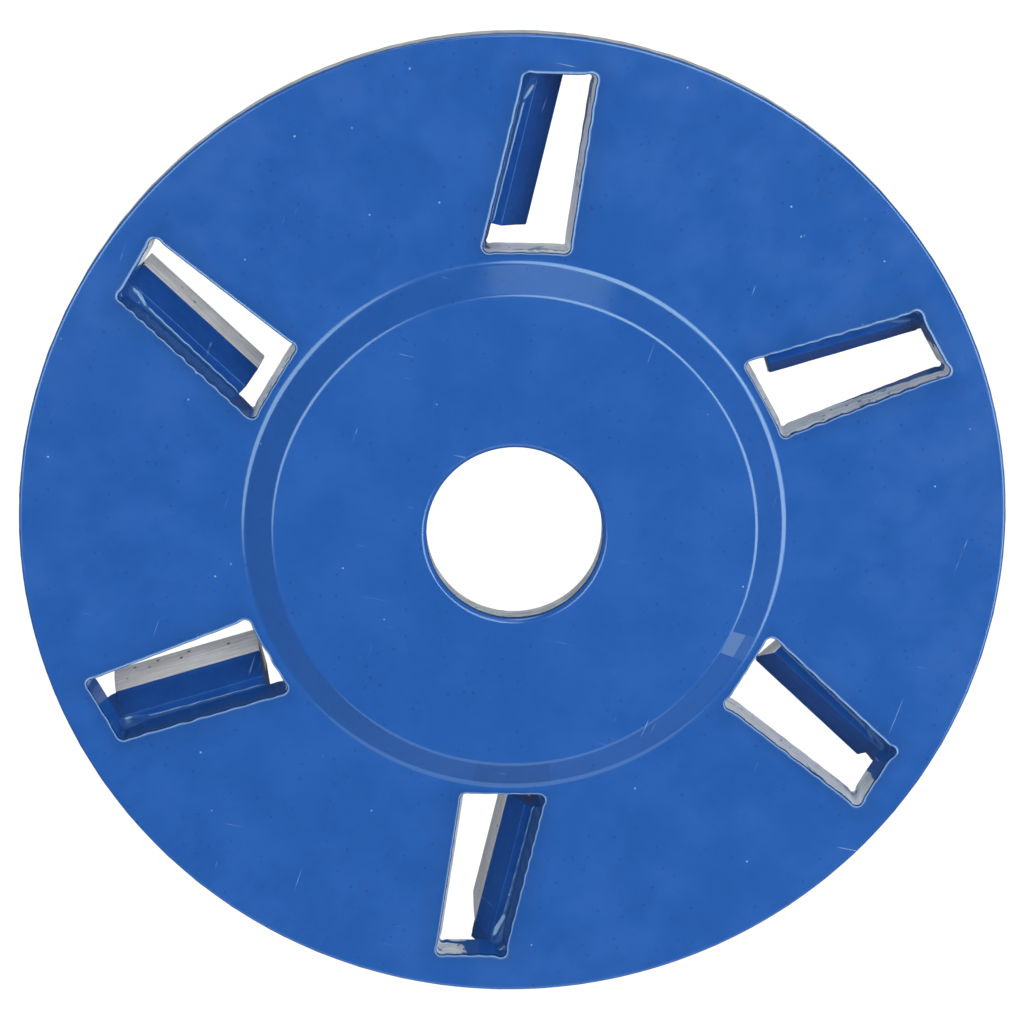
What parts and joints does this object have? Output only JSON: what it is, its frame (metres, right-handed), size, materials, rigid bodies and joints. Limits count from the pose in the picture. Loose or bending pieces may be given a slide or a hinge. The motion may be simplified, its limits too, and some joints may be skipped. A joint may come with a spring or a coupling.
{
  "type": "angle grinder carving disc",
  "caption": "Round painted steel carving disc with a raised bored centre, slanted chip windows and ground blades welded on end under their trailing edges.",
  "frame": {"origin": "centre of the arbor bore, half way through the raised centre's thickness", "axes": "+Z along the spindle axis, towards the grinder, so the teeth point down; +X along the blade of the first tooth, outwards; seen from +Z the disc cuts turning clockwise"},
  "size_m": [0.09, 0.09, 0.0108],
  "materials": {
    "plate_steel": "glossy blue enamel over pressed steel, bare in the punched windows and the bore",
    "tooth_steel": "blue enamel on the blade's sides, bare ground steel on the cutting face and flank",
    "weld_metal": "rippled weld bead under blue enamel"
  },
  "bodies": {
    "root": {"disc_plate": "plate_steel", "tooth_1": "tooth_steel", "tooth_2": "tooth_steel", "tooth_3": "tooth_steel", "tooth_4": "tooth_steel", "tooth_5": "tooth_steel", "tooth_6": "tooth_steel", "heel_weld_1": "weld_metal", "heel_weld_2": "weld_metal", "heel_weld_3": "weld_metal", "heel_weld_4": "weld_metal", "heel_weld_5": "weld_metal", "heel_weld_6": "weld_metal", "end_weld_1": "weld_metal", "end_weld_2": "weld_metal", "end_weld_3": "weld_metal", "end_weld_4": "weld_metal", "end_weld_5": "weld_metal", "end_weld_6": "weld_metal"}
  },
  "joints": []
}
